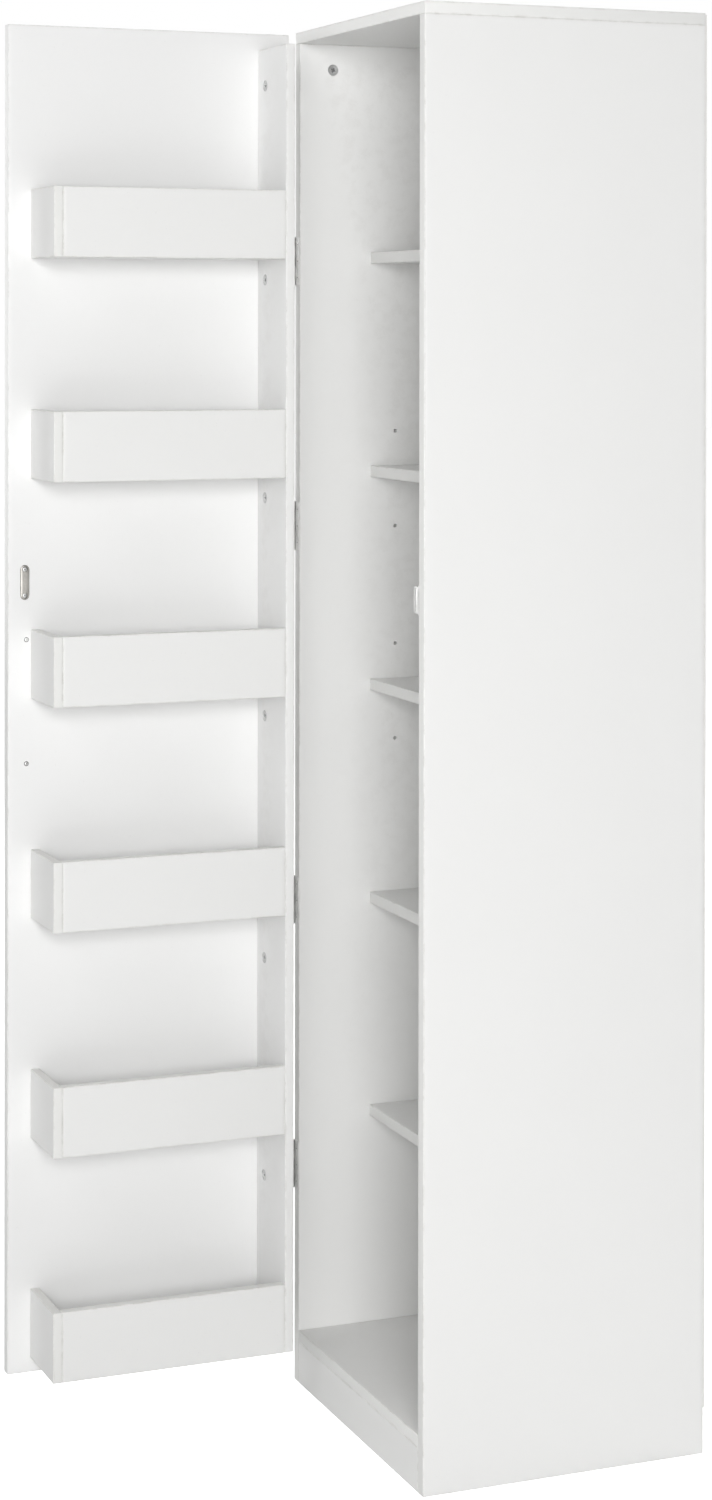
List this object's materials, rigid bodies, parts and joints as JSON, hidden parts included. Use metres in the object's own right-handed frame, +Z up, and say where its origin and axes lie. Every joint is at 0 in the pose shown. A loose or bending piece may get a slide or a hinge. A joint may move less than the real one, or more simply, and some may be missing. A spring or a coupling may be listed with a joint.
{
  "type": "pantry cabinet",
  "caption": "Tall narrow pantry cabinet in white board: one side-hung door that carries open storage racks, over fixed and adjustable shelves in a plain carcass.",
  "frame": {"origin": "on the floor, in the middle of the underside of the plinth, at mid-width", "axes": "+X to the right-hand side seen from the front, +Y from the front to the back, +Z up"},
  "size_m": [0.4435, 0.79, 1.8],
  "materials": {
    "carcass_board": "white melamine-faced chipboard, satin, with matching edge band",
    "door_board": "white melamine-faced chipboard, satin, with matching edge band",
    "rack_board": "white melamine-faced chipboard, 12 mm, satin, with matching edge band",
    "back_board": "hardboard, white lacquered inside, brown fibre outside",
    "hinge_steel": "nickel-plated steel, satin",
    "cam_zinc": "die-cast zinc, bright",
    "catch_plastic": "white moulded plastic",
    "catch_magnet": "ferrite magnet, dark grey",
    "handle_metal": "satin nickel"
  },
  "bodies": {
    "carcass": {"back_panel": "back_board", "bottom_panel": "carcass_board", "catch_housing": "catch_plastic", "catch_magnet": "catch_magnet", "hinge_leaf_carcass_1": "hinge_steel", "hinge_leaf_carcass_2": "hinge_steel", "hinge_leaf_carcass_3": "hinge_steel", "hinge_leaf_carcass_4": "hinge_steel", "hinge_pin_1": "hinge_steel", "hinge_pin_2": "hinge_steel", "hinge_pin_3": "hinge_steel", "hinge_pin_4": "hinge_steel", "plinth": "carcass_board", "shelf_1": "carcass_board", "shelf_2": "carcass_board", "shelf_3": "carcass_board", "shelf_4": "carcass_board", "shelf_5": "carcass_board", "side_panel_left": "carcass_board", "side_panel_right": "carcass_board", "top_cam_lock_left_front": "cam_zinc", "top_cam_lock_left_rear": "cam_zinc", "top_cam_lock_right_front": "cam_zinc", "top_cam_lock_right_rear": "cam_zinc", "top_panel": "carcass_board"},
    "door": {"door_panel": "door_board", "door_stile": "rack_board", "handle_bar": "handle_metal", "handle_post_lower": "handle_metal", "handle_post_upper": "handle_metal", "hinge_leaf_door_1": "hinge_steel", "hinge_leaf_door_2": "hinge_steel", "hinge_leaf_door_3": "hinge_steel", "hinge_leaf_door_4": "hinge_steel", "rack_base_1": "rack_board", "rack_base_2": "rack_board", "rack_base_3": "rack_board", "rack_base_4": "rack_board", "rack_base_5": "rack_board", "rack_base_6": "rack_board", "rack_end_1": "rack_board", "rack_end_2": "rack_board", "rack_end_3": "rack_board", "rack_end_4": "rack_board", "rack_end_5": "rack_board", "rack_end_6": "rack_board", "rack_front_1": "rack_board", "rack_front_2": "rack_board", "rack_front_3": "rack_board", "rack_front_4": "rack_board", "rack_front_5": "rack_board", "rack_front_6": "rack_board", "stile_cam_lock_1": "cam_zinc", "stile_cam_lock_2": "cam_zinc", "stile_cam_lock_3": "cam_zinc", "stile_cam_lock_4": "cam_zinc", "stile_cam_lock_5": "cam_zinc", "stile_cam_lock_6": "cam_zinc", "strike_plate": "hinge_steel"}
  },
  "joints": [
    {"name": "door_swing", "type": "hinge", "parent": "carcass", "child": "door", "pos_m": [-0.199, -0.0105, 0.9], "axis": [0, 0, 1], "range_deg": [-90, 90]}
  ]
}
